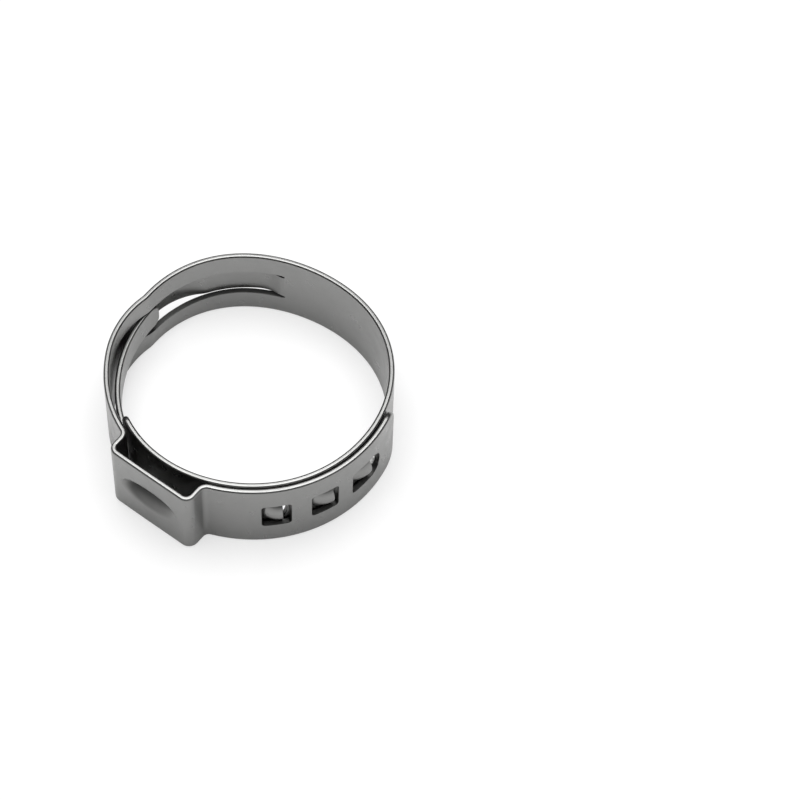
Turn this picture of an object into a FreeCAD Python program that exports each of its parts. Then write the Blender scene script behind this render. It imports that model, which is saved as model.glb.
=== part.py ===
import FreeCAD, Part
import os
from math import acos, asin, atan2, cos, degrees, radians, sin, sqrt

from FreeCAD import Rotation, Vector

# A stepless ear clamp for hoses, cut and bent from one stainless strip. Its bore runs along Z, and the
# origin is on the bore's axis at half the strip's width. Angles are in degrees, counter-clockwise seen
# from +Z, and the strip is followed that way: tongue, shoulders, hooks, round the back, three strands
# side by side, outer lap, ear, windows, free end. It is built on the plane z = 0 and then centred.

# Sizes of the strip and of the ring, in millimetres
inner_diameter = 27.1
strip_thickness = 0.6
strip_width = 9.0
lap_gap = 0.1
edge_chamfer = 0.15

# The tongue, the narrow end of the inner lap, which slides between the side strands
tongue_tip_angle = 134.5
shoulder_angle = 203.0
tongue_side_gap = 0.1
tongue_tip_radius = 1.1
shoulder_radius = 0.9

# The slits, which part the strip into two side strands and a middle strand
slit_start_angle = 76.0
slit_end_angle = 172.0
middle_strand_width = 3.3
slit_width = 0.1

# The middle strand stands off the ring as a channel for the tongue, with a crest near its far end. It
# starts to rise at the lead angle past the slits' start.
channel_rise = 0.62
channel_lead_angle = 0.12
channel_toe_radius = 1.2
channel_crown_radius = 2.4
crest_rise = 0.73
crest_angle = 130.0
crest_toe_radius = 3.0
crest_crown_radius = 8.0

# The side strands step out to the outer lap, which springs clear of the tongue from there to the ear
step_toe_radius = 2.0
step_crown_radius = 10.0
step_stand_off = 0.3
ear_stand_off = 0.17

# The ear, which pincers squeeze to close the clamp, and the dimple pressed into its bridge
ear_angle = 231.2
ear_leg_spacing = 9.8
ear_inside_height = 1.63
ear_corner_radius = 0.75
ear_foot_radius = 1.0
dimple_length = 7.2
dimple_width = 3.4
dimple_depth = 0.9
dimple_wall = 0.5

# The free end of the outer lap and its windows
lap_end_angle = 341.5
lap_end_radius = 1.6
window_count = 3
window_first_angle = 279.5
window_pitch_angle = 19.8
window_length = 2.9
window_width = 3.4
window_corner_radius = 0.35

# The hooks of the inner lap: half domes pressed out through the windows, each with a hole before its
# straight mouth. The first hooks' holes are shallow, and the last one's is half round. The hooks' pitch
# is a little longer than the windows', so the last hook bears on its window first.
hook_mouth_first_angle = 282.0
hook_pitch_angle = 21.15
hook_length = 2.1
hook_width = 3.2
hook_wall = 0.5
hook_hole_inset = 0.15
hook_hole_reach = 0.45

# Radii and heights that follow from the sizes above
inner_radius = inner_diameter / 2
half_thickness = strip_thickness / 2
inner_lap_radius = inner_radius + half_thickness
outer_lap_radius = inner_lap_radius + strip_thickness + lap_gap
step_peak_radius = outer_lap_radius + step_stand_off
channel_radius = inner_lap_radius + channel_rise
crest_radius = channel_radius + crest_rise
bridge_height = inner_radius + strip_thickness + ear_inside_height + half_thickness
middle_low = (strip_width - middle_strand_width) / 2
middle_high = middle_low + middle_strand_width
side_strand_width = middle_low - slit_width
tongue_low = middle_low + tongue_side_gap
tongue_high = middle_high - tongue_side_gap
tongue_corner_radius = min(tongue_tip_radius, 0.45 * (tongue_high - tongue_low))
hook_hole_radius = hook_width / 2 - hook_hole_inset


def polar(radius, angle):
    """The point at a radius and an angle round the Z axis."""
    return Vector(radius * cos(radians(angle)), radius * sin(radians(angle)), 0)


def bearing(start, end):
    """The angle of the line from one point to another."""
    return degrees(atan2(end.y - start.y, end.x - start.x))


def near(angle, guide):
    """The same direction as angle, in the turn that lies nearest to guide."""
    return angle + 360 * round((guide - angle) / 360)


def bend(centre, radius, start, end):
    """A bend of the centre line: counter-clockwise where end is the larger angle, else clockwise."""
    return {"centre": centre, "radius": radius, "start": start, "end": near(end, start)}


def run(start, end):
    """A straight run of the centre line."""
    return {"start": start, "end": end}


def side_edge(piece, side):
    """The strip's surface beside one piece of the centre line: side is 1 outside the ring, -1 inside."""
    reach = side * half_thickness
    if "centre" not in piece:
        along = (piece["end"] - piece["start"]).normalize()
        outward = Vector(along.y, -along.x, 0) * reach
        return Part.LineSegment(piece["start"] + outward, piece["end"] + outward).toShape()
    turn = 1 if piece["end"] > piece["start"] else -1
    radius = piece["radius"] + turn * reach
    middle = (piece["start"] + piece["end"]) / 2
    points = [piece["centre"] + polar(radius, angle) for angle in (piece["start"], middle, piece["end"])]
    return Part.Arc(*points).toShape()


def strand(path, low, high):
    """The strip along a path of bends and runs, between two heights."""
    outside = [side_edge(piece, 1) for piece in path]
    inside = [side_edge(piece, -1) for piece in path]
    first_cap = Part.LineSegment(outside[0].Vertexes[0].Point, inside[0].Vertexes[0].Point)
    last_cap = Part.LineSegment(outside[-1].Vertexes[-1].Point, inside[-1].Vertexes[-1].Point)
    caps = [first_cap.toShape(), last_cap.toShape()]
    outline = Part.Wire(Part.__sortEdges__(outside + caps + inside))
    face = Part.Face(outline)
    face.translate(Vector(0, 0, low))
    return face.extrude(Vector(0, 0, high - low))


def ring_bend(radius, start, end):
    """A stretch of the ring about its own axis, counter-clockwise from start to end."""
    return {"centre": Vector(), "radius": radius, "start": start, "end": end}


def step_out(radius, peak_radius, peak_angle, toe_radius, crown_radius):
    """A step from the circle of one radius out to a peak: a toe bend and a crown bend, both tangent.

    The crown's centre lies on the peak's own radius. The toe's centre makes a triangle with it and the
    ring's axis, whose three sides are known, so the law of cosines gives the angle where the step begins.
    """
    crown = polar(peak_radius - crown_radius, peak_angle)
    toe_reach = radius + toe_radius
    link = toe_radius + crown_radius
    cosine = (toe_reach ** 2 + crown.Length ** 2 - link ** 2) / (2 * toe_reach * crown.Length)
    begin = peak_angle - degrees(acos(cosine))
    toe = polar(toe_reach, begin)
    meeting = near(bearing(crown, toe), peak_angle)
    toe_bend = bend(toe, toe_radius, begin + 180, meeting + 180)
    crown_bend = bend(crown, crown_radius, meeting, peak_angle)
    return begin, [toe_bend, crown_bend]


# The outer lap's loose stretch is an arc about a point a little off the axis. It is tangent to the step's
# peak, and it passes the ear's foot at the stand-off there, which two conditions give its radius.
ear_foot_spread = degrees(asin((ear_leg_spacing / 2 + ear_foot_radius) / outer_lap_radius))
foot_reach = (outer_lap_radius + ear_stand_off) * cos(radians(ear_angle - ear_foot_spread - slit_end_angle))
foot_square = (outer_lap_radius + ear_stand_off) ** 2 - 2 * step_peak_radius * foot_reach
loose_lap_radius = (foot_square + step_peak_radius ** 2) / (2 * (step_peak_radius - foot_reach))
loose_centre = polar(step_peak_radius - loose_lap_radius, slit_end_angle)


def side_strand_path():
    """The side strands: along the ring, then out to the loose lap."""
    begin, step = step_out(
        inner_lap_radius, step_peak_radius, slit_end_angle, step_toe_radius, step_crown_radius
    )
    return [ring_bend(inner_lap_radius, slit_start_angle, begin)] + step


def middle_strand_path():
    """The middle strand: up to the channel, up again to the crest, and straight down to the loose lap."""
    rise_sizes = (channel_toe_radius, channel_crown_radius)
    rise_angle = slit_start_angle + channel_lead_angle
    rise_span = -step_out(inner_lap_radius, channel_radius, 0, *rise_sizes)[0]
    channel_angle = rise_angle + rise_span
    rise = step_out(inner_lap_radius, channel_radius, channel_angle, *rise_sizes)[1]
    crest_begin, crest = step_out(
        channel_radius, crest_radius, crest_angle, crest_toe_radius, crest_crown_radius
    )
    crown = crest[-1]["centre"]
    between = crown - loose_centre
    lean = degrees(acos((loose_lap_radius - crest_crown_radius) / between.Length))
    leave_angle = bearing(loose_centre, crown) + lean
    crest[-1]["end"] = leave_angle
    top = crown + polar(crest_crown_radius, leave_angle)
    foot = loose_centre + polar(loose_lap_radius, leave_angle)
    return (
        [ring_bend(inner_lap_radius, slit_start_angle, rise_angle)]
        + rise
        + [ring_bend(channel_radius, channel_angle, crest_begin)]
        + crest
        + [run(top, foot), bend(loose_centre, loose_lap_radius, leave_angle, slit_end_angle)]
    )


def ear_foot(centre, radius, side):
    """The bend between a lap circle and an ear leg: its centre in the ear's frame, across and out."""
    across = side * (ear_leg_spacing / 2 + ear_foot_radius)
    offset = across - centre.x
    return Vector(across, centre.y + sqrt((radius + ear_foot_radius) ** 2 - offset ** 2), 0)


def outer_lap_path():
    """The outer lap: from the slits to the ear, over it, and on to the free end."""
    spin = Rotation(Vector(0, 0, 1), ear_angle - 90)
    # In the ear's own frame its bridge lies across X, at a height along Y
    loose_local = spin.inverted().multVec(loose_centre)
    half_leg = ear_leg_spacing / 2
    far_foot = ear_foot(Vector(), outer_lap_radius, -1)
    near_foot = ear_foot(loose_local, loose_lap_radius, 1)
    corner_across = half_leg - ear_corner_radius
    corner_out = bridge_height - ear_corner_radius
    turn = ear_angle - 90

    def place(across, out):
        return spin.multVec(Vector(across, out, 0))

    near_centre = place(near_foot.x, near_foot.y)
    far_centre = place(far_foot.x, far_foot.y)
    first = near(bearing(loose_centre, near_centre), slit_end_angle)
    last = near(bearing(Vector(), far_centre), lap_end_angle)
    return [
        bend(loose_centre, loose_lap_radius, slit_end_angle, first),
        bend(near_centre, ear_foot_radius, first + 180, 180 + turn),
        run(place(half_leg, near_foot.y), place(half_leg, corner_out)),
        bend(place(corner_across, corner_out), ear_corner_radius, turn, turn + 90),
        run(place(corner_across, bridge_height), place(-corner_across, bridge_height)),
        bend(place(-corner_across, corner_out), ear_corner_radius, turn + 90, turn + 180),
        run(place(-half_leg, corner_out), place(-half_leg, far_foot.y)),
        bend(far_centre, ear_foot_radius, turn, last - 180),
        ring_bend(outer_lap_radius, last, lap_end_angle),
    ]


def lens_body(length, width, rise):
    """A body of revolution about a line along Y, which stands out of the plane x = 0 as a long low dome.

    In that plane it is as long and as wide as given, and its top is at x = rise. Both its sections are
    arcs: the arc through two edges half a width apart from the middle and a top at a rise has the radius
    (half width squared + rise squared) / (2 rise), and its centre is the line that the body turns about.
    """
    section_radius = ((width / 2) ** 2 + rise ** 2) / (2 * rise)
    axis_x = rise - section_radius
    ends = [Vector(0, -length / 2, 0), Vector(0, length / 2, 0)]
    feet = [Vector(axis_x, end.y, 0) for end in ends]
    outline = [
        Part.LineSegment(feet[0], ends[0]).toShape(),
        Part.Arc(ends[0], Vector(rise, 0, 0), ends[1]).toShape(),
        Part.LineSegment(ends[1], feet[1]).toShape(),
        Part.LineSegment(feet[1], feet[0]).toShape(),
    ]
    return Part.Face(Part.Wire(outline)).revolve(feet[0], Vector(0, 1, 0), 360)


def aimed(shape, radius, angle):
    """A shape moved so that its own X axis points outwards at an angle, from a radius, at mid width."""
    shape = shape.copy()
    shape.rotate(Vector(), Vector(0, 0, 1), angle)
    shape.translate(polar(radius, angle) + Vector(0, 0, strip_width / 2))
    return shape


def block(low, high):
    """A box between two corners."""
    return Part.makeBox(high.x - low.x, high.y - low.y, high.z - low.z, low)


def inside_gap():
    """The cylinder out to the middle of the gap between the laps: windows stay outside it, holes inside."""
    return Part.makeCylinder(inner_radius + strip_thickness + lap_gap / 2, strip_width)


def window(angle):
    """The block that cuts one window through the outer lap: deeper than the strip, for its curve."""
    corner = Vector(strip_thickness, window_length / 2, window_width / 2)
    punch = block(-corner, corner)
    corners = [edge for edge in punch.Edges if abs(edge.tangentAt(edge.FirstParameter).x) > 0.9]
    return aimed(punch.makeFillet(window_corner_radius, corners), outer_lap_radius, angle).cut(inside_gap())


def hook_dome(angle):
    """The half dome of one hook: its straight mouth is at the angle, its top level with the outer lap."""
    rise = outer_lap_radius + half_thickness - inner_radius
    keep = block(Vector(half_thickness / 2, -hook_length, -hook_width), Vector(2 * rise, 0, hook_width))
    return aimed(lens_body(2 * hook_length, hook_width, rise).common(keep), inner_radius, angle)


def hook_hollow(angle, reach):
    """What is open in one hook: the hollow of the dome, and the hole that reaches out from its mouth.

    The hole's edge is an arc through both ends of the mouth. With half the mouth's length h, its radius is
    (h squared + reach squared) / (2 reach).
    """
    rise = outer_lap_radius + half_thickness - inner_radius
    below = block(Vector(-rise, -hook_length, -hook_width), Vector(2 * rise, 0, hook_width))
    beyond = block(Vector(-rise, 0, -hook_width), Vector(2 * rise, hook_length, hook_width))
    hollow = lens_body(2 * (hook_length - hook_wall), hook_width - 2 * hook_wall, rise - hook_wall)
    radius = (hook_hole_radius ** 2 + reach ** 2) / (2 * reach)
    foot = Vector(-strip_thickness, reach - radius, 0)
    hole = Part.makeCylinder(radius, 3 * strip_thickness, foot, Vector(1, 0, 0))
    before_mouth = aimed(hole.common(beyond), inner_radius, angle).common(inside_gap())
    return aimed(hollow.common(below), inner_radius, angle), before_mouth


def corner_edges(shape, angle, heights):
    """The short edges through the thickness at an angle and at given heights, to be rounded."""
    found = []
    for edge in shape.Edges:
        first, last = edge.Vertexes[0].Point, edge.Vertexes[-1].Point
        level = abs(first.z - last.z) < 1e-6 and min(abs(first.z - height) for height in heights) < 1e-6
        aligned = all(abs(near(bearing(Vector(), point), angle) - angle) < 0.01 for point in (first, last))
        if level and aligned and len(edge.Vertexes) == 2:
            found.append(edge)
    return found


def build_tongue():
    """The tongue, with the corners of its tip rounded."""
    path = [ring_bend(inner_lap_radius, tongue_tip_angle, shoulder_angle)]
    plain = strand(path, tongue_low, tongue_high)
    tip_corners = corner_edges(plain, tongue_tip_angle, (tongue_low, tongue_high))
    return plain.makeFillet(tongue_corner_radius, tip_corners)


def build_inner_lap():
    """The full width from the shoulders, under the ear and round the back to the slits."""
    path = [ring_bend(inner_lap_radius, shoulder_angle, slit_start_angle + 360)]
    plain = strand(path, 0, strip_width)
    return plain.makeFillet(shoulder_radius, corner_edges(plain, shoulder_angle, (0, strip_width)))


def dimple():
    """The dimple of the ear's bridge: the metal it pushes inwards, and the hollow it leaves outside."""
    face = bridge_height + half_thickness
    push = dimple_depth + dimple_wall - strip_thickness
    low = Vector(-half_thickness, -dimple_length, -dimple_width)
    high = Vector(dimple_depth, dimple_length, dimple_width)
    pushed = lens_body(dimple_length, dimple_width + dimple_wall, push).common(block(low, high))
    hollow = lens_body(dimple_length, dimple_width, dimple_depth)
    pushed.rotate(Vector(), Vector(0, 0, 1), 180)
    hollow.rotate(Vector(), Vector(0, 0, 1), 180)
    return aimed(pushed, face - strip_thickness, ear_angle), aimed(hollow, face, ear_angle)


def build_outer_lap():
    """The full width from the slits over the ear to the free end."""
    plain = strand(outer_lap_path(), 0, strip_width)
    return plain.makeFillet(lap_end_radius, corner_edges(plain, lap_end_angle, (0, strip_width)))


def rims(shape):
    """The edges of the strip's two long sides, low and high."""
    levels = [(edge, edge.BoundBox) for edge in shape.Edges]
    return [
        edge for edge, box in levels
        if max(abs(box.ZMin), abs(box.ZMax)) < 1e-5
        or max(abs(box.ZMin - strip_width), abs(box.ZMax - strip_width)) < 1e-5
    ]


def build_clamp_band():
    """The whole clamp, as one solid."""
    side_path = side_strand_path()
    band = build_inner_lap().multiFuse([
        build_tongue(),
        strand(side_path, 0, side_strand_width),
        strand(side_path, strip_width - side_strand_width, strip_width),
        strand(middle_strand_path(), middle_low, middle_high),
        build_outer_lap(),
    ]).removeSplitter()
    band = band.Solids[0].makeChamfer(edge_chamfer, rims(band))
    pushed, hollow = dimple()
    band = band.fuse(pushed).cut(hollow)
    for number in range(window_count):
        band = band.cut(window(window_first_angle + number * window_pitch_angle))
    for number in range(window_count):
        mouth_angle = hook_mouth_first_angle + number * hook_pitch_angle
        reach = hook_hole_radius if number == window_count - 1 else hook_hole_reach
        band = band.fuse(hook_dome(mouth_angle))
        for opening in hook_hollow(mouth_angle, reach):
            band = band.cut(opening)
    band.translate(Vector(0, 0, -strip_width / 2))
    return band


os.makedirs("parts", exist_ok=True)
clamp_band = build_clamp_band()
clamp_band.exportStep("parts/clamp_band.step")
print("clamp_band: solids", len(clamp_band.Solids), "valid", clamp_band.isValid(),
      "volume mm3", round(clamp_band.Volume, 2), "box", clamp_band.BoundBox)
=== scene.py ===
# %% [markdown]
# # An ear clamp with a smooth bore
#
# The clamp is one stainless strip, cut flat with its slits, windows and hooks, rolled round so that its
# two ends lap, and bent into an ear. The scene makes it the same way: a flat pattern first, then the
# bends. That keeps every cut on the strip's curve, as it is on the real clamp, and it gives each edge the
# soft rounding that makes the strip's rims shine.

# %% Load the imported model
from math import acos, atan2, ceil, cos, degrees, pi, radians, sin

import bpy
import numpy as np
from mathutils import Matrix


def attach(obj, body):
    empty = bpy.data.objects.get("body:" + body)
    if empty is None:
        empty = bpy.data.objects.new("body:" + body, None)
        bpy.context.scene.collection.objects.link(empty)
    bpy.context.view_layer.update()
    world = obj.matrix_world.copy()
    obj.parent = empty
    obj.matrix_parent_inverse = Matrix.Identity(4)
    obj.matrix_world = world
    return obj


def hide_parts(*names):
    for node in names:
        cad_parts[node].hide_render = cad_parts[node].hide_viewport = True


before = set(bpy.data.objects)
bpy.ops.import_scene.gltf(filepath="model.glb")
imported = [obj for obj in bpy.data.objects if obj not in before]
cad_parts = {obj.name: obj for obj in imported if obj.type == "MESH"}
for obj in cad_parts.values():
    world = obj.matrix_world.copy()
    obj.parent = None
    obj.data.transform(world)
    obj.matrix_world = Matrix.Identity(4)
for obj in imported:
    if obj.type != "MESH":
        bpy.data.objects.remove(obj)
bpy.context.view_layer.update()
MM = 0.001
print("nodes", sorted(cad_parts))

# %% [markdown]
# ## The sizes
#
# These are the real clamp's sizes in millimetres and degrees. Angles run counter-clockwise seen from
# above, and the strip is followed that way, from the tip of its tongue to its free end.

# %% Sizes of the strip, the laps and the ear
THICKNESS = 0.6
HALF_WIDTH = 4.5
INNER_LAP_RADIUS = 13.85
OUTER_LAP_RADIUS = 14.55
RIM_ROUNDING = 0.24
CUT_ROUNDING = 0.06

TONGUE_TIP_ANGLE = 134.5
SHOULDER_ANGLE = 203.0
TONGUE_HALF_WIDTH = 1.62
TONGUE_CORNER = 1.1
SHOULDER_CORNER = 0.9
FREE_END_CORNER = 1.6

SLIT_START_ANGLE = 436.0
SLIT_END_ANGLE = 532.0
SLIT_MIDDLE = 1.75
SLIT_SPREAD = 0.45
SLIT_HALF_GAP = 0.02
SLIT_START_WIDENING = 0.12

CHANNEL_ANGLE = SLIT_START_ANGLE + 12.0
CHANNEL_RADIUS = INNER_LAP_RADIUS + 0.56
CREST_ANGLE = 130.0 + 360
CREST_RADIUS = CHANNEL_RADIUS + 0.79
STEP_PEAK_RADIUS = OUTER_LAP_RADIUS + 0.3
LOOSE_LAP_RADIUS = 14.2

EAR_ANGLE = 231.2 + 360.0
EAR_HALF_SPACING = 4.9
EAR_BRIDGE_HEIGHT = 16.08
EAR_CORNER_RADIUS = 0.75
EAR_FOOT_RADIUS = 1.0
LAP_END_ANGLE = 701.5
print(f"channel at {CHANNEL_RADIUS:.2f} mm and its crest at {CREST_RADIUS:.2f} mm from the axis")

# %% [markdown]
# ## The line that the strip follows
#
# Seen from above, the middle of the strip is a chain of arcs and straight runs, each tangent to the
# next. A press makes such bends, so they give truer light on the metal than one smooth spline would.

# %% Arcs, runs and the steps between two circles
def polar(radius, angle):
    """The point at a radius and an angle in degrees, about the bore's axis."""
    return np.array([radius * cos(radians(angle)), radius * sin(radians(angle))])


def bearing(start, end):
    """The angle of the line from one point to another, in degrees."""
    return degrees(atan2(end[1] - start[1], end[0] - start[0]))


def near(angle, guide):
    """The same direction as angle, in the turn that lies nearest to guide."""
    return angle + 360 * round((guide - angle) / 360)


def arc(centre, radius, start, end):
    """An arc of the line: counter-clockwise where end is the larger angle, else clockwise."""
    end = near(end, start)
    return {"centre": np.array(centre), "radius": radius, "start": start, "end": end,
            "length": radius * abs(radians(end - start))}


def ring_arc(radius, start, end):
    """A stretch about the bore's own axis, which may be longer than half a turn."""
    return {"centre": np.zeros(2), "radius": radius, "start": start, "end": end,
            "length": radius * radians(end - start)}


def run(start, end):
    """A straight run of the line."""
    return {"from": start, "along": (end - start) / np.linalg.norm(end - start),
            "length": np.linalg.norm(end - start)}


def step_out(radius, peak_radius, peak_angle, toe_radius, crown_radius):
    """A step from one circle out to a peak: a toe arc and a crown arc, both tangent.

    The crown's centre is on the peak's own radius. The toe's centre makes a triangle with it and the
    bore's axis, so the law of cosines gives the angle where the step begins.
    """
    crown = polar(peak_radius - crown_radius, peak_angle)
    toe_reach = radius + toe_radius
    crown_reach = abs(peak_radius - crown_radius)
    link = toe_radius + crown_radius
    turn = degrees(acos((toe_reach**2 + crown_reach**2 - link**2) / (2 * toe_reach * crown_reach)))
    begin = peak_angle - turn
    toe = polar(toe_reach, begin)
    meeting = near(bearing(crown, toe), peak_angle)
    return begin, [arc(toe, toe_radius, begin + 180, meeting + 180),
                   arc(crown, crown_radius, meeting, peak_angle)]


LOOSE_CENTRE = polar(STEP_PEAK_RADIUS - LOOSE_LAP_RADIUS, SLIT_END_ANGLE)

# %% The four stretches of the strip
def inner_lap_line():
    """The tongue, then the full width under the ear and round the back to the slits."""
    return [ring_arc(INNER_LAP_RADIUS, TONGUE_TIP_ANGLE, SLIT_START_ANGLE)]


def side_strand_line():
    """The two side strands: along the ring, then a short step out to the outer lap."""
    begin, step = step_out(INNER_LAP_RADIUS, STEP_PEAK_RADIUS, SLIT_END_ANGLE,
                           toe_radius=2.0, crown_radius=10.0)
    return [ring_arc(INNER_LAP_RADIUS, SLIT_START_ANGLE, begin)] + step


def middle_strand_line():
    """The middle strand: up to the channel, again to its crest, then straight down to the outer lap."""
    rise_begin, rise = step_out(INNER_LAP_RADIUS, CHANNEL_RADIUS, CHANNEL_ANGLE,
                                toe_radius=2.5, crown_radius=4.5)
    crest_begin, crest = step_out(CHANNEL_RADIUS, CREST_RADIUS, CREST_ANGLE,
                                  toe_radius=3.0, crown_radius=8.0)
    crown = crest[1]
    between = crown["centre"] - LOOSE_CENTRE
    lean = degrees(acos((LOOSE_LAP_RADIUS - crown["radius"]) / np.linalg.norm(between)))
    leave = near(bearing(LOOSE_CENTRE, crown["centre"]) + lean, SLIT_END_ANGLE)
    crest[1] = arc(crown["centre"], crown["radius"], crown["start"], leave)
    top = crown["centre"] + polar(crown["radius"], leave)
    foot = LOOSE_CENTRE + polar(LOOSE_LAP_RADIUS, leave)
    return ([ring_arc(INNER_LAP_RADIUS, SLIT_START_ANGLE, rise_begin)] + rise
            + [ring_arc(CHANNEL_RADIUS, CHANNEL_ANGLE, crest_begin)] + crest
            + [run(top, foot), arc(LOOSE_CENTRE, LOOSE_LAP_RADIUS, leave, SLIT_END_ANGLE)])


def outer_lap_line():
    """The outer lap: from the slits to the ear, over it, and on past the windows to the free end."""
    turn = EAR_ANGLE - 90
    across = polar(1.0, turn)
    out = polar(1.0, EAR_ANGLE)

    def place(x, y):
        return across * x + out * y

    def foot_height(centre, radius, side):
        offset = side * (EAR_HALF_SPACING + EAR_FOOT_RADIUS) - centre @ across
        return centre @ out + np.sqrt((radius + EAR_FOOT_RADIUS) ** 2 - offset**2)

    near_height = foot_height(LOOSE_CENTRE, LOOSE_LAP_RADIUS, 1)
    far_height = foot_height(np.zeros(2), OUTER_LAP_RADIUS, -1)
    near_foot = place(EAR_HALF_SPACING + EAR_FOOT_RADIUS, near_height)
    far_foot = place(-EAR_HALF_SPACING - EAR_FOOT_RADIUS, far_height)
    first = near(bearing(LOOSE_CENTRE, near_foot), SLIT_END_ANGLE)
    last = near(bearing(np.zeros(2), far_foot), LAP_END_ANGLE)
    corner_x = EAR_HALF_SPACING - EAR_CORNER_RADIUS
    corner_y = EAR_BRIDGE_HEIGHT - EAR_CORNER_RADIUS
    return [
        arc(LOOSE_CENTRE, LOOSE_LAP_RADIUS, SLIT_END_ANGLE, first),
        arc(near_foot, EAR_FOOT_RADIUS, first + 180, turn + 180),
        run(place(EAR_HALF_SPACING, near_height), place(EAR_HALF_SPACING, corner_y)),
        arc(place(corner_x, corner_y), EAR_CORNER_RADIUS, turn, turn + 90),
        run(place(corner_x, EAR_BRIDGE_HEIGHT), place(-corner_x, EAR_BRIDGE_HEIGHT)),
        arc(place(-corner_x, corner_y), EAR_CORNER_RADIUS, turn + 90, turn + 180),
        run(place(-EAR_HALF_SPACING, corner_y), place(-EAR_HALF_SPACING, far_height)),
        arc(far_foot, EAR_FOOT_RADIUS, turn, last - 180),
        ring_arc(OUTER_LAP_RADIUS, last, LAP_END_ANGLE),
    ]


def length_of(line):
    """The length of a line of arcs and runs."""
    return sum(piece["length"] for piece in line)


def follow(line, distances):
    """Points and outward normals of a line at an array of distances along it.

    On an arc the point is centre + radius (cos a, sin a), where a grows with the distance over the
    radius. The outward normal is that same direction, or its opposite where the arc runs clockwise.
    """
    points = np.zeros((len(distances), 2))
    normals = np.zeros((len(distances), 2))
    begin = 0.0
    for number, piece in enumerate(line):
        final = number == len(line) - 1
        here = (distances >= begin - 1e-9) & (final | (distances < begin + piece["length"] - 1e-9))
        along = distances[here] - begin
        if "centre" in piece:
            sense = 1 if piece["end"] > piece["start"] else -1
            angles = np.radians(piece["start"]) + sense * along / piece["radius"]
            outward = np.stack([np.cos(angles), np.sin(angles)], 1)
            points[here] = piece["centre"] + piece["radius"] * outward
            normals[here] = sense * outward
        else:
            points[here] = piece["from"] + along[:, None] * piece["along"]
            normals[here] = [piece["along"][1], -piece["along"][0]]
        begin += piece["length"]
    return points, normals


INNER_LINE = inner_lap_line()
SIDE_LINE = side_strand_line()
MIDDLE_LINE = middle_strand_line()
OUTER_LINE = outer_lap_line()
SHOULDERS_AT = INNER_LAP_RADIUS * radians(SHOULDER_ANGLE - TONGUE_TIP_ANGLE)
SLITS_FROM = length_of(INNER_LINE)
SLITS_TO = SLITS_FROM + length_of(SIDE_LINE)
STRIP_LENGTH = SLITS_TO + length_of(OUTER_LINE)
print(f"strip {STRIP_LENGTH:.1f} mm long, slits from {SLITS_FROM:.1f} to {SLITS_TO:.1f} mm")

# %% [markdown]
# ## The flat pattern
#
# A press cuts the flat strip before it is rolled: two slits free the middle strand, three windows go
# through the outer lap, the last one a longer slot, and three half-round hooks are cut into the inner
# lap. Each cut is a distance field, a formula for how far a point of the strip lies from the nearest
# edge. A grid of cells covers the strip, cells inside a cut are left out, and the points beside a cut
# are moved onto its edge.

# %% Where the windows, the hooks and the ear lie along the strip
WINDOW_ANGLES = (279.5, 299.3, 319.1)
WINDOW_SHIFTS = (0.0, 0.0, 0.3)
WINDOWS = [STRIP_LENGTH - OUTER_LAP_RADIUS * radians(LAP_END_ANGLE - 360 - angle) + shift
           for angle, shift in zip(WINDOW_ANGLES, WINDOW_SHIFTS)]
WINDOW_HALF_LENGTHS = (1.45, 1.45, 2.05)
WINDOW_HALF_WIDTH = 1.7
WINDOW_CORNER = 0.35
SLOT_ROUND_FROM = 0.3
SLOT_END_CORNER = 1.5

MOUTH_ANGLES = (282.0, 303.15, 322.6)
MOUTHS = [INNER_LAP_RADIUS * radians(angle - TONGUE_TIP_ANGLE) for angle in MOUTH_ANGLES]
HOOK_LENGTH = 2.1
HOOK_HALF_WIDTH = 1.6
HOOK_RISE = 0.84
HOOK_FOOT = 0.12
MOUTH_HALF_WIDTH = 1.6
MOUTH_STEP = 0.2
HOLE_REACHES = (0.5, 0.5, 2.2)
LAST_HOLE_CORNER = 0.3

BRIDGE_MIDDLE = SLITS_TO + length_of(OUTER_LINE[:4]) + OUTER_LINE[4]["length"] / 2
DIMPLE_HALF_LENGTH = 3.6
DIMPLE_HALF_WIDTH = 2.0
DIMPLE_DEPTH = 0.95
DIMPLE_DEEPEST = 0.35
DIMPLE_POWER = 2.6
DIMPLE_BED = 0.2
print("windows at", np.round(WINDOWS, 1), "and hook mouths at", np.round(MOUTHS, 1), "mm along")


# %% Distance fields of the strip and its cuts
def rounded_bar(x, z, low, high, half_width, corner):
    """How far inside a bar with rounded corners a point lies: positive inside, negative outside."""
    across = np.abs(z) - (half_width - corner)
    along = np.abs(x - (low + high) / 2) - ((high - low) / 2 - corner)
    outside = np.hypot(np.maximum(across, 0), np.maximum(along, 0))
    return corner - outside - np.minimum(np.maximum(across, along), 0)


def smooth(value):
    """A soft step from 0 to 1: 3 v squared minus 2 v cubed."""
    value = np.clip(value, 0, 1)
    return value * value * (3 - 2 * value)


# Each pair is where a slit begins to move and over how much, as shares of the slit's length
LOWER_SPREADS = (0.15, 0.47)
LOWER_COMES_BACK = (0.62, 0.1)
UPPER_SPREADS = (0.6, 0.25)
SPREAD_FADES_OVER = 2.0
START_WIDE_OVER = 0.22


def ramp(share, begin, over):
    """A soft step from 0 to 1 that begins at one share of the slit's length."""
    return smooth((share - begin) / over)


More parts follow.
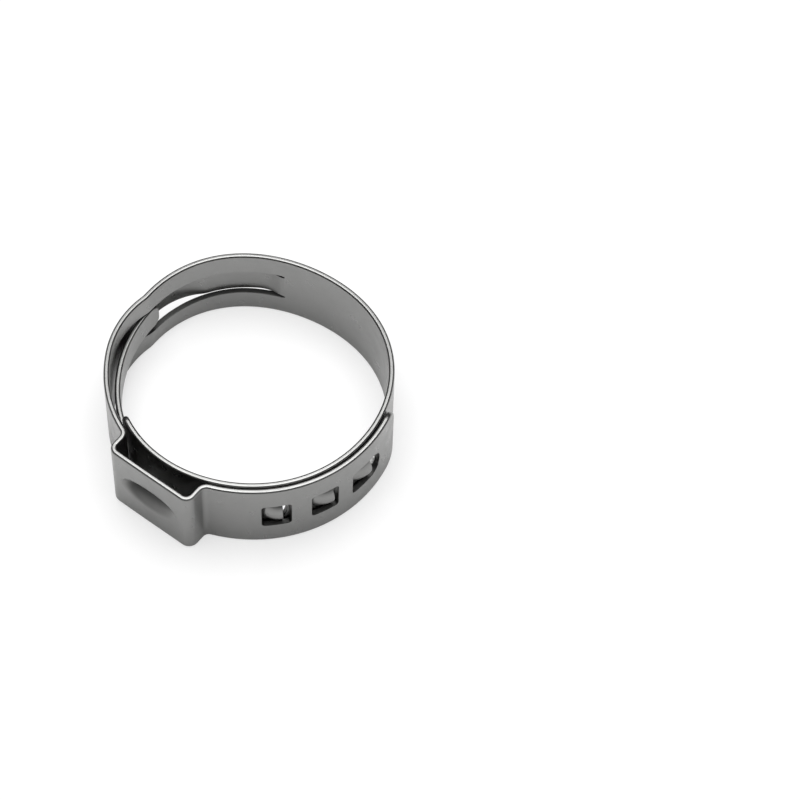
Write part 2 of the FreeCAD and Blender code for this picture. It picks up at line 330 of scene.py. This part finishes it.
def slit_spread(x, z):
    """How far a slit has moved out from where it starts: the middle strand widens round the tongue's tip.

    The lower slit spreads up to the tip and comes back past it, and the upper one spreads past the
    crest. Past the slits' end the spread fades out, which keeps the grid's lines even.
    """
    share = (x - SLITS_FROM) / (SLITS_TO - SLITS_FROM)
    lower = ramp(share, *LOWER_SPREADS) * (1 - ramp(share, *LOWER_COMES_BACK))
    upper = ramp(share, *UPPER_SPREADS)
    return SLIT_SPREAD * np.where(z < 0, lower, upper) * smooth(1 + (SLITS_TO - x) / SPREAD_FADES_OVER)


def slit_half_gap(x):
    """Half a slit's width: wider at its start, where the punch came through, then nearly closed."""
    share = (x - SLITS_FROM) / (SLITS_TO - SLITS_FROM)
    return SLIT_HALF_GAP + SLIT_START_WIDENING * smooth(1 - share / START_WIDE_OVER)


def within_outline(x, z):
    """How far inside the strip's outline a point of the flat pattern lies, positive in the metal.

    The outline is three bars that lap one another, so their shared ends lie inside the metal.
    """
    tongue = rounded_bar(x, z, 0.0, SHOULDERS_AT + 6, TONGUE_HALF_WIDTH, TONGUE_CORNER)
    shoulder_end = rounded_bar(x, z, SHOULDERS_AT, SHOULDERS_AT + 20, HALF_WIDTH, SHOULDER_CORNER)
    free_end = rounded_bar(x, z, SHOULDERS_AT + 10, STRIP_LENGTH, HALF_WIDTH, FREE_END_CORNER)
    return np.maximum(tongue, np.maximum(shoulder_end, free_end))


def window_hole(x, z, number):
    """How far inside a window a point lies. The last one is a slot, square at one end, round at the other."""
    middle, half_length = WINDOWS[number], WINDOW_HALF_LENGTHS[number]
    low, high = middle - half_length, middle + half_length
    if number < len(WINDOWS) - 1:
        return rounded_bar(x, z, low, high, WINDOW_HALF_WIDTH, WINDOW_CORNER)
    square = rounded_bar(x, z, low, middle + SLOT_ROUND_FROM, WINDOW_HALF_WIDTH, WINDOW_CORNER)
    round_end = rounded_bar(x, z, low, high, WINDOW_HALF_WIDTH, SLOT_END_CORNER)
    return np.maximum(square, round_end)


def hook_hole(x, z, number):
    """How far inside a hook's hole a point lies. The hole begins at the hook's mouth.

    Two holes end in an arc through both ends of the mouth. With half the mouth's width h and the
    hole's reach r, the arc's radius is (h squared + r squared) / (2 r). The last hole is square.
    """
    mouth, reach = MOUTHS[number], HOLE_REACHES[number]
    if number < len(MOUTHS) - 1:
        radius = (MOUTH_HALF_WIDTH**2 + reach**2) / (2 * reach)
        hole = radius - np.hypot(x - mouth - reach + radius, z)
    else:
        hole = rounded_bar(x, z, mouth - 1, mouth + reach, MOUTH_HALF_WIDTH, LAST_HOLE_CORNER)
    return np.minimum(hole, x - mouth)


def clear_of_cuts(x, z):
    """How far a point lies from the nearest slit, window or hook hole, positive in the metal."""
    beside = np.abs(z) - SLIT_MIDDLE - slit_spread(x, z)
    half_gap = slit_half_gap(x)
    metal = -rounded_bar(x, beside, SLITS_FROM, SLITS_TO, half_gap, half_gap)
    for number in range(len(WINDOWS)):
        metal = np.minimum(metal, -window_hole(x, z, number))
        metal = np.minimum(metal, -hook_hole(x, z, number))
    return metal


def inside_face(x, z):
    """How far a point lies inside the strip's flat face, which ends where the edges' rounding begins."""
    return np.minimum(within_outline(x, z) - RIM_ROUNDING, clear_of_cuts(x, z) - CUT_ROUNDING)


# %% Lines of the grid, close together where the strip bends or is cut
def grid_lines(marks, spacing_at):
    """Grid lines through every mark, with about the spacing that the function gives between them."""
    lines = [marks[0]]
    for low, high in zip(marks[:-1], marks[1:]):
        if high - low < 1e-6:
            continue
        cells = max(1, ceil((high - low) / spacing_at((low + high) / 2)))
        lines.extend(np.linspace(low, high, cells + 1)[1:])
    return np.array(lines)


def bends_of(line, begin):
    """The two ends of every piece of a line, along the strip, and those of its tight bends."""
    ends, tight = [begin], []
    for piece in line:
        ends.append(ends[-1] + piece["length"])
        if piece.get("radius", 99) < 1.5:
            tight.append((ends[-2], ends[-1]))
    return ends, tight


outer_ends, tight_bends = bends_of(OUTER_LINE, SLITS_TO)
edge_marks = [RIM_ROUNDING, SHOULDERS_AT + RIM_ROUNDING, SLITS_FROM - CUT_ROUNDING,
              SLITS_TO + CUT_ROUNDING, STRIP_LENGTH - RIM_ROUNDING]
# Where each fine stretch begins and ends along the strip, and the spacing of its lines
fine_stretches = [(RIM_ROUNDING, 1.4, 0.2), (SHOULDERS_AT, SHOULDERS_AT + 1.2, 0.2),
                  (STRIP_LENGTH - 2.0, STRIP_LENGTH, 0.16), (SLITS_FROM, SLITS_TO, 0.3)]
for middle, half_length in zip(WINDOWS, WINDOW_HALF_LENGTHS):
    reach = half_length + CUT_ROUNDING
    fine_stretches.append((middle - reach, middle - reach + 0.5, 0.13))
    fine_stretches.append((middle + reach - 0.5, middle + reach, 0.13))
    fine_stretches.append((middle - reach, middle + reach, 0.25))
for mouth in MOUTHS:
    fine_stretches.append((mouth - HOOK_LENGTH - 0.4, mouth - CUT_ROUNDING, 0.15))
    fine_stretches.append((mouth - CUT_ROUNDING, mouth + HOLE_REACHES[-1] + 0.2, 0.12))
for low, high in tight_bends:
    fine_stretches.append((low, high, 0.13))
fine_stretches.append((BRIDGE_MIDDLE - 4.0, BRIDGE_MIDDLE + 4.0, 0.2))


def spacing_along(x):
    """The spacing of grid lines along the strip: half a millimetre, or less at a cut or a bend."""
    return min([0.5] + [gap for low, high, gap in fine_stretches if low <= x <= high])


fine_ends = [end for low, high, gap in fine_stretches for end in (low, high)
             if RIM_ROUNDING < end < STRIP_LENGTH - RIM_ROUNDING]
along_marks = sorted(edge_marks + outer_ends[1:-1] + fine_ends)
ALONG = grid_lines(along_marks, spacing_along)
# Across the strip, the lines are closer up to the slits. Past the fixed line they don't move with them
FIXED_LINE = 4.0
slit_near = SLIT_MIDDLE - SLIT_HALF_GAP - CUT_ROUNDING
slit_far = SLIT_MIDDLE + SLIT_HALF_GAP + CUT_ROUNDING
across_marks = [0.0, 0.6, slit_near, SLIT_MIDDLE, WINDOW_HALF_WIDTH + CUT_ROUNDING, slit_far,
                2.5, FIXED_LINE, HALF_WIDTH - RIM_ROUNDING]
half_across = grid_lines(across_marks, lambda z: 0.17 if z < 1.9 else 0.35)
ACROSS = np.concatenate([-half_across[:0:-1], half_across])
print(len(ALONG), "lines along by", len(ACROSS), "across")


# %% Cells of the metal, with their edge points moved onto the cuts
def slope_of(field, x, z, reach=1e-4):
    """The direction in which a distance field grows, from its change over a small reach."""
    slope = np.stack([field(x + reach, z) - field(x - reach, z),
                      field(x, z + reach) - field(x, z - reach)], 1)
    return slope / np.maximum(np.linalg.norm(slope, axis=1, keepdims=True), 1e-12)


def flat_pattern():
    """The flat face of the strip as points (x along, z across) and four-cornered cells.

    The grid's lines move out with the slits. A cell is part of the face where the field at its middle
    is positive. A point at the border of the face slides along the field's slope until the field is
    zero there.
    """
    x, z = np.meshgrid(ALONG, ACROSS, indexing="ij")
    z = z + np.sign(z) * slit_spread(x, z) * np.interp(np.abs(z), [0, SLIT_MIDDLE, FIXED_LINE], [0, 1, 0])
    number = np.arange(x.size).reshape(x.shape)
    cells = np.stack([number[:-1, :-1], number[1:, :-1], number[1:, 1:], number[:-1, 1:]], -1).reshape(-1, 4)
    x, z = x.ravel(), z.ravel()
    middle_x, middle_z = x[cells].mean(1), z[cells].mean(1)
    cells = cells[inside_face(middle_x, middle_z) > 0]
    used, cells = np.unique(cells, return_inverse=True)
    cells = cells.reshape(-1, 4)
    points = np.stack([x[used], z[used]], 1)
    border = np.unique(border_edges(cells))
    for _ in range(12):
        miss = inside_face(points[border, 0], points[border, 1])
        points[border] -= miss[:, None] * slope_of(inside_face, points[border, 0], points[border, 1])
    return points, cells


def border_edges(cells):
    """The edges that only one cell has, each in its cell's own direction."""
    edges = np.concatenate([cells[:, [side, (side + 1) % 4]] for side in range(4)])
    _, first, count = np.unique(np.sort(edges, 1), axis=0, return_index=True, return_counts=True)
    return edges[first[count == 1]]


flat_points, cells = flat_pattern()
borders = border_edges(cells)
print(len(flat_points), "points,", len(cells), "cells,", len(borders), "border edges")

# %% [markdown]
# ## Pressing and bending
#
# The press then raises the hooks and sinks the ear's dimple, and the strip is rolled along its line.
# Both are formulas on the flat pattern, so the cuts go with the metal. A formula of its own paints
# shade into the dimple for the finish, darker at one end.

# %% How far each point is pressed out of the strip
def pressed(x, z):
    """How far the press moves a point outwards: domes before the hooks' mouths, a hollow in the ear.

    With u as 1 minus spread, a paraboloid, a dome's share is (u + hypot(u, foot)) / 2, which runs out
    softly where u falls to zero. It ends within a short step past the mouth.
    """
    rise = np.zeros_like(x)
    for mouth in MOUTHS:
        behind = np.maximum(mouth - x, 0)
        spread = (behind / HOOK_LENGTH) ** 2 + (z / HOOK_HALF_WIDTH) ** 2
        dome = HOOK_RISE * (1 - spread + np.hypot(1 - spread, HOOK_FOOT)) / 2
        rise += dome * smooth(1 - (x - mouth) / MOUTH_STEP) * (np.abs(x - mouth) < 3)
    return rise - DIMPLE_DEPTH * dimple_share(x, z)


def dimple_share(x, z):
    """The ear's hollow, as a share of its depth: a trough, steep above its deepest line, gentle below.

    Along the ear it is 1 minus a power of the distance from the middle, and its width narrows with the
    root of that. Across, it is a soft step above the deepest line and a power of the distance below.
    """
    length_left = np.clip(1 - np.abs((x - BRIDGE_MIDDLE) / DIMPLE_HALF_LENGTH) ** DIMPLE_POWER, 0, 1)
    width = np.sqrt(length_left) + 1e-6
    beside = z / width - DIMPLE_DEEPEST
    above = smooth(1 - np.clip(beside, 0, None) / (DIMPLE_HALF_WIDTH - DIMPLE_DEEPEST))
    drop = np.hypot(np.clip(-beside, 0, None), DIMPLE_BED) - DIMPLE_BED
    below = 1 - drop / (DIMPLE_HALF_WIDTH + DIMPLE_DEEPEST)
    return length_left * above * np.clip(below, 0, 1) ** DIMPLE_POWER


# Painted shade in the ear's hollow: the middle and half width of its ellipse, its soft border, and how dark
# it is along the strip
DIMPLE_SHADE_MIDDLE = -0.1
DIMPLE_SHADE_HALF_WIDTH = 1.8
DIMPLE_SHADE_SOFTNESS = 0.6
DIMPLE_SHADE_STRENGTH = 0.52
DIMPLE_SHADE_LEAN = 0.26


def painted_dimple_shade(x, z):
    """How much shade is painted into the ear's hollow: most at one end, less towards the other.

    The painted shade is an ellipse with a soft border, and its strength falls along the strip.
    """
    along = (x - BRIDGE_MIDDLE) / DIMPLE_HALF_LENGTH
    across = (z - DIMPLE_SHADE_MIDDLE) / DIMPLE_SHADE_HALF_WIDTH
    return smooth((1 - along**2 - across**2) / DIMPLE_SHADE_SOFTNESS) * (DIMPLE_SHADE_STRENGTH - DIMPLE_SHADE_LEAN * along)


# Waves round the ring, the height of each in millimetres: its cosine part and its sine part
SPRING = [(2, -0.02, -0.144), (3, 0.163, -0.043), (4, -0.014, 0.086)]


def sprung(points):
    """The free clamp's slight spring out of round, which a hose would take out of it.

    A point at the angle t moves outwards by the sum of a few waves, a cos n t + b sin n t, with n of them
    round the ring: two make an oval, three an egg, four a soft square.
    """
    angle = np.arctan2(points[:, 1], points[:, 0])
    shift = sum(a * np.cos(n * angle) + b * np.sin(n * angle) for n, a, b in SPRING)
    return points * (1 + shift / INNER_LAP_RADIUS)[:, None]


def bent(x, z, lift):
    """The flat pattern bent round the clamp: points in millimetres, lifted out of the strip's middle.

    Between the slits, the middle strand takes its own line. Its length differs from the side strands',
    so it is followed by the share of the stretch that lies behind a point, not by the distance.
    """
    points = np.zeros((len(x), 2))
    normals = np.zeros((len(x), 2))
    share = np.clip((x - SLITS_FROM) / (SLITS_TO - SLITS_FROM), 0, 1)
    slit_stretch = (x > SLITS_FROM) & (x < SLITS_TO)
    middle = slit_stretch & (np.abs(z) < SLIT_MIDDLE + slit_spread(x, z))
    for chosen, line, distance in (
        (x <= SLITS_FROM, INNER_LINE, x),
        (slit_stretch & ~middle, SIDE_LINE, x - SLITS_FROM),
        (middle, MIDDLE_LINE, share * length_of(MIDDLE_LINE)),
        (x >= SLITS_TO, OUTER_LINE, x - SLITS_TO),
    ):
        points[chosen], normals[chosen] = follow(line, distance[chosen])
    return np.column_stack([sprung(points + normals * lift[:, None]), z])


def surface(flat):
    """The strip's bent middle surface, its outward normals, and its slopes along and across.

    The normals are the cross product of the two slopes, which are taken over a short reach.
    """
    reach = 0.01
    x, z = flat[:, 0], flat[:, 1]
    middle = bent(x, z, pressed(x, z))
    ahead = np.clip(x + reach, None, STRIP_LENGTH)
    back = np.clip(x - reach, 0, None)
    along = bent(ahead, z, pressed(ahead, z)) - bent(back, z, pressed(back, z))
    across = bent(x, z + reach, pressed(x, z + reach)) - bent(x, z - reach, pressed(x, z - reach))
    normals = np.cross(along, across)
    normals /= np.linalg.norm(normals, axis=1, keepdims=True)
    return middle, normals, along, across


# %% [markdown]
# ## A wall with rounded edges
#
# The strip is one surface moved out and in by half its thickness. Along every cut, the two are joined by
# a rounded rim: real clamp strip has its edges rolled round, so that it doesn't cut the hose, and these
# rims are the brightest lines on the clamp.

# %% The closed wall of the strip
RIM_STEPS = 4
# How dark the painted shade on a cut face is, which also stands for its torn metal: where the punch came in,
# and where it left
CUT_FACE_SHADE_SHARES = (1.0, 0.55)


def rim_section(rounding):
    """The rim's section as (reach beyond the border, height), from the outer face to the inner one.

    Two quarter circles with the rounding's radius r, and a flat between them: reach = r sin a and
    height = half thickness - r (1 - cos a) on the first, mirrored on the second. There is a row for each
    step and a column for each border point, since cut edges are sharper than the strip's own.
    """
    angles = np.linspace(0, pi / 2, RIM_STEPS + 1)[:, None]
    reach = rounding * np.sin(angles)
    height = THICKNESS / 2 - rounding * (1 - np.cos(angles))
    return np.concatenate([reach, reach[::-1]]), np.concatenate([height, -height[::-1]])


def build_wall():
    """The strip's closed mesh: outer face, inner face turned over, and one ring of rim faces per step.

    At a border point, the way out of the metal is the field's slope turned round, laid on the bent
    surface by its two tangents. A rim point is border + reach (way out) + height (normal). Cut faces
    get a dark mark from 0 to 1, partly torn metal and partly painted shade, but not the strip's own
    edges, nor the end of the slot and the lower edge of the last hook's hole, where the lamp's glint
    is left to show. The outer face gets the ear hollow's painted shade.
    """
    middle, normals, along, across = surface(flat_points)
    count = len(middle)
    outer = middle + normals * THICKNESS / 2
    inner = middle - normals * THICKNESS / 2

    edge_points, edge_number = np.unique(borders, return_inverse=True)
    edge_number = edge_number.reshape(-1, 2)
    edge_x, edge_z = flat_points[edge_points].T
    way = -slope_of(inside_face, edge_x, edge_z)
    to_outline = within_outline(edge_x, edge_z) - RIM_ROUNDING
    at_outline = to_outline < clear_of_cuts(edge_x, edge_z) - CUT_ROUNDING
    rounding = np.where(at_outline, RIM_ROUNDING, CUT_ROUNDING)
    tangent = along[edge_points] / np.linalg.norm(along[edge_points], axis=1, keepdims=True)
    side = across[edge_points] / np.linalg.norm(across[edge_points], axis=1, keepdims=True)
    outwards = way[:, :1] * tangent + way[:, 1:] * side
    outwards /= np.linalg.norm(outwards, axis=1, keepdims=True)

    reach, height = rim_section(rounding)
    rows, row_normals, row_flat = [], [], []
    for step in range(1, len(reach) - 1):
        out, up = reach[step][:, None], height[step][:, None]
        rows.append(middle[edge_points] + out * outwards + up * normals[edge_points])
        lean = np.minimum(out / rounding[:, None], 1)
        row_normals.append(lean * outwards + np.sign(up) * np.sqrt(1 - lean**2) * normals[edge_points])
        row_flat.append(flat_points[edge_points] + out * way)

    # Cut faces get painted shade that also stands for their torn metal; the slot's end and the lower edge of
    # the last hook's hole are left without it, so the lamp's glint shows there
    at_last_hole = hook_hole(edge_x, edge_z, len(MOUTHS) - 1) > -2 * CUT_ROUNDING
    unshaded_hole_edge = at_last_hole & (edge_z < 0) & (edge_x > MOUTHS[-1] + 0.1)
    slot_end = np.abs(edge_x - WINDOWS[-1] - WINDOW_HALF_LENGTHS[-1]) < 3 * CUT_ROUNDING
    torn_and_shaded = np.where(at_outline | unshaded_hole_edge | slot_end, 0.0, 1.0)
    darkening = np.linspace(*CUT_FACE_SHADE_SHARES, len(rows))[:, None] * torn_and_shaded
    # The outer face carries the ear hollow's painted shade, the rims the dark of the cut faces
    torn_and_painted_shade = np.concatenate([painted_dimple_shade(*flat_points.T), np.zeros(count), darkening.ravel()])
    points = np.concatenate([outer, inner] + rows)
    smooth_normals = np.concatenate([normals, -normals] + row_normals)
    pattern = np.concatenate([flat_points, flat_points] + row_flat)

    # A row of rim points is known by where it begins in the list. The first and last are the faces'
    starts = [None] + [2 * count + row * len(edge_points) for row in range(len(rows))] + [None]
    faces = [cells, cells[:, ::-1] + count]

    def row_index(step, ends):
        if step == 0:
            return edge_points[ends]
        if step == len(reach) - 1:
            return edge_points[ends] + count
        return starts[step] + ends

    for step in range(len(reach) - 1):
        high = row_index(step, edge_number)
        low = row_index(step + 1, edge_number)
        faces.append(np.stack([high[:, 1], high[:, 0], low[:, 0], low[:, 1]], 1))
    return points, np.concatenate(faces), smooth_normals, pattern, torn_and_painted_shade


points, faces, smooth_normals, pattern, torn_and_painted_shade = build_wall()
print(len(points), "points and", len(faces), "faces in the wall")


# %% The mesh, its normals and its map along the strip
def build_band(name):
    """The clamp as one Blender object, with the formula's own normals and a map of the flat strip."""
    mesh = bpy.data.meshes.new(name)
    mesh.from_pydata((points * MM).tolist(), [], faces.tolist())
    mesh.polygons.foreach_set("use_smooth", np.ones(len(faces), bool))
    uv_map = mesh.uv_layers.new(name="flat_strip")
    uv_map.uv.foreach_set("vector", (pattern[faces.ravel()] * MM).astype(np.float32).ravel())
    mesh.attributes.new("torn_and_painted_shade", "FLOAT", "POINT").data.foreach_set("value", torn_and_painted_shade.astype(np.float32))
    mesh.normals_split_custom_set_from_vertices(smooth_normals.tolist())
    mesh.validate()
    band = bpy.data.objects.new(name, mesh)
    bpy.context.scene.collection.objects.link(band)
    return band


band = build_band("stainless_band")
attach(band, "root")
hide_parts("clamp_band")
print("piece", band.name, "triangles", 2 * len(faces))


# %% [markdown]
# ## The finish
#
# The strip is cold-rolled stainless steel, austenitic, with its mill finish: a satin grey that mirrors
# softly, with faint lines along the strip from the rolls. A metal's colour is its reflection, so the
# base colour stays a neutral steel grey, and the character is in the roughness and in the fine relief.
# Sheared faces are torn, so they look rougher; their dark colour is partly torn metal and partly painted
# shade in the slits and windows. The ear's hollow gets painted shade and a little more roughness.

# %% Colours and nodes
def linear(hex_colour):
    """An sRGB hex colour as the linear red, green, blue and alpha that Blender's nodes take."""
    parts = [int(hex_colour[i:i + 2], 16) / 255 for i in (1, 3, 5)]
    return tuple(p / 12.92 if p <= 0.04045 else ((p + 0.055) / 1.055) ** 2.4 for p in parts) + (1.0,)


def add_node(tree, kind, inputs=None, **settings):
    """Adds one node: settings are its own properties, inputs are values, or sockets to link from."""
    node = tree.nodes.new(kind)
    for key, value in settings.items():
        setattr(node, key, value)
    for key, value in (inputs or {}).items():
        if isinstance(value, bpy.types.NodeSocket):
            tree.links.new(value, node.inputs[key])
        else:
            node.inputs[key].default_value = value
    return node


def new_material(name):
    """An empty node material with its output."""
    material = bpy.data.materials.new(name)
    material.use_nodes = True
    material.node_tree.nodes.clear()
    return material, material.node_tree, add_node(material.node_tree, "ShaderNodeOutputMaterial")


# %% Mill-finished stainless steel
STEEL_COLOUR = "#848483"
# A dark colour for torn cut faces that is partly painted shade in the slits and windows, and painted shade in
# the ear's hollow
TORN_AND_SHADE_COLOUR = "#333332"
# The rolls' real lines are a few hundredths of a millimetre apart: they are drawn coarser, so they show
LINE_SPACING = 0.25 * MM
LINE_RELIEF = 0.004 * MM
LINE_STRETCH = 0.03
MOTTLE_SIZE = 1.5 * MM
SHEEN = (0.26, 0.36)
SHEARED_ROUGHENING = 0.25


def stainless_finish():
    """Satin stainless: lines from the rolls, a slow mottle in the sheen, and rough cut faces whose dark
    colour is partly painted shade.

    The colour's inputs 6 and 7 are the plain steel and the dark one, mixed by the mesh's attribute, which
    holds the cut faces' dark and the ear hollow's painted shade.
    """
    material, tree, output = new_material("satin_rolled_stainless")
    strip = add_node(tree, "ShaderNodeUVMap", uv_map="flat_strip")
    stretch = add_node(tree, "ShaderNodeMapping", {
        "Vector": strip.outputs["UV"], "Scale": (LINE_STRETCH, 1.0, 1.0)})
    lines = add_node(tree, "ShaderNodeTexNoise", {
        "Vector": stretch.outputs["Vector"], "Scale": 1 / LINE_SPACING, "Detail": 3.0, "Roughness": 0.6})
    place = add_node(tree, "ShaderNodeTexCoord")
    mottle = add_node(tree, "ShaderNodeTexNoise", {
        "Vector": place.outputs["Object"], "Scale": 1 / MOTTLE_SIZE, "Detail": 4.0, "Roughness": 0.6})
    sheen = add_node(tree, "ShaderNodeMapRange", {
        "Value": mottle.outputs["Fac"], "From Min": 0.3, "From Max": 0.7,
        "To Min": SHEEN[0], "To Max": SHEEN[1]})
    relief = add_node(tree, "ShaderNodeBump", {
        "Height": lines.outputs["Fac"], "Strength": 0.4, "Distance": LINE_RELIEF})
    # The mask of torn cut faces and painted shade, which darkens the colour and roughens the steel
    cut = add_node(tree, "ShaderNodeAttribute", attribute_name="torn_and_painted_shade")
    colour = add_node(tree, "ShaderNodeMix", {
        "Factor": cut.outputs["Fac"], 6: linear(STEEL_COLOUR), 7: linear(TORN_AND_SHADE_COLOUR)}, data_type="RGBA")
    roughness = add_node(tree, "ShaderNodeMath", {
        0: cut.outputs["Fac"], 1: SHEARED_ROUGHENING, 2: sheen.outputs["Result"]}, operation="MULTIPLY_ADD")
    steel = add_node(tree, "ShaderNodeBsdfPrincipled", {
        "Base Color": colour.outputs[2], "Metallic": 1.0, "Roughness": roughness.outputs["Value"],
        "Normal": relief.outputs["Normal"]})
    tree.links.new(steel.outputs["BSDF"], output.inputs["Surface"])
    return material


band.data.materials.append(stainless_finish())

# %% [markdown]
# ## The studio
#
# A pale floor under the clamp and one broad soft lamp overhead. The rims look up at the lamp, and the
# walls look down at the floor. The floor glows a little for the camera only, so that it looks white
# there and still keeps the clamp's shadow.

# %% Floor
FLOOR_HALF_SIZE = 0.6
FLOOR_COLOUR = "#F2F2F2"
FLOOR_GLOW = 0.6


def build_floor(height):
    """A wide pale floor under the clamp, one square of four corners."""
    mesh = bpy.data.meshes.new("floor")
    corners = [(x * FLOOR_HALF_SIZE, y * FLOOR_HALF_SIZE, height)
               for x, y in ((-1, -1), (1, -1), (1, 1), (-1, 1))]
    mesh.from_pydata(corners, [], [(0, 1, 2, 3)])
    floor = bpy.data.objects.new("floor", mesh)
    bpy.context.scene.collection.objects.link(floor)
    material, tree, output = new_material("white_paper")
    paper = add_node(tree, "ShaderNodeBsdfPrincipled", {"Base Color": linear(FLOOR_COLOUR), "Roughness": 0.9})
    glow = add_node(tree, "ShaderNodeEmission", {"Color": (1, 1, 1, 1), "Strength": 1.0})
    seen = add_node(tree, "ShaderNodeLightPath")
    share = add_node(tree, "ShaderNodeMath", {0: seen.outputs["Is Camera Ray"], 1: FLOOR_GLOW},
                     operation="MULTIPLY")
    blend = add_node(tree, "ShaderNodeMixShader", {
        "Fac": share.outputs["Value"], 1: paper.outputs["BSDF"], 2: glow.outputs["Emission"]})
    tree.links.new(blend.outputs["Shader"], output.inputs["Surface"])
    mesh.materials.append(material)


build_floor(-HALF_WIDTH * MM)

# %% Lamp and world
WORLD_STRENGTH = 0.06


def add_lamp(name, place, size, power):
    """A square soft lamp that faces the clamp, with its side in metres and its power in watts."""
    lamp = bpy.data.lights.new(name, "AREA")
    lamp.size = size
    lamp.energy = power
    holder = bpy.data.objects.new(name, lamp)
    holder.location = place
    holder.rotation_euler = (-holder.location).to_track_quat("-Z", "Y").to_euler()
    bpy.context.scene.collection.objects.link(holder)
    print("lamp", name, "of", power, "W")


add_lamp("overhead_lamp", place=(0.0, 0.05, 0.45), size=0.46, power=3.5)

world = bpy.data.worlds.new("studio")
bpy.context.scene.world = world
world.use_nodes = True
background = world.node_tree.nodes["Background"]
background.inputs["Color"].default_value = (1, 1, 1, 1)
background.inputs["Strength"].default_value = WORLD_STRENGTH

# %% [markdown]
# ## The camera
#
# It looks down at the clamp from the front, from 0.3 m away, as for a close product picture.

# %% Camera
SENSOR_WIDTH = 36.0
CAMERA_ELEVATION = 57.17
CAMERA_ROLL = -1.66
CAMERA_DISTANCE = 300.0
CAMERA_SIDE = (-0.12, -0.09)
CAMERA_TURN = 1.7
PIXELS_PER_MM = 9.732
PICTURE_SIZE = 800
TARGET_PIXEL = (252.4, 416.8)


def place_camera():
    """The camera: tilted down, rolled a little, and shifted, which puts the clamp left of the middle.

    The lens follows from similar triangles: lens / sensor = distance / width of what the picture takes in.
    """
    camera = bpy.data.cameras.new("camera")
    camera.sensor_width = SENSOR_WIDTH
    camera.lens = PIXELS_PER_MM * CAMERA_DISTANCE / PICTURE_SIZE * camera.sensor_width
    camera.shift_x = (PICTURE_SIZE / 2 - TARGET_PIXEL[0]) / PICTURE_SIZE
    camera.shift_y = (TARGET_PIXEL[1] - PICTURE_SIZE / 2) / PICTURE_SIZE
    camera.clip_start = 0.01
    tilt = radians(CAMERA_ELEVATION)
    holder = bpy.data.objects.new("camera", camera)
    turn = Matrix.Rotation(pi / 2 - tilt, 4, "X") @ Matrix.Rotation(radians(CAMERA_ROLL), 4, "Z")
    spot = (CAMERA_SIDE[0], CAMERA_SIDE[1] - cos(tilt) * CAMERA_DISTANCE,
            sin(tilt) * CAMERA_DISTANCE - HALF_WIDTH)
    swing = Matrix.Rotation(radians(CAMERA_TURN), 4, "Z")
    holder.matrix_world = swing @ Matrix.Translation([part * MM for part in spot]) @ turn
    bpy.context.scene.collection.objects.link(holder)
    bpy.context.scene.camera = holder
    print(f"camera with a {camera.lens:.0f} mm lens")


place_camera()
bpy.context.scene.view_settings.view_transform = "Standard"
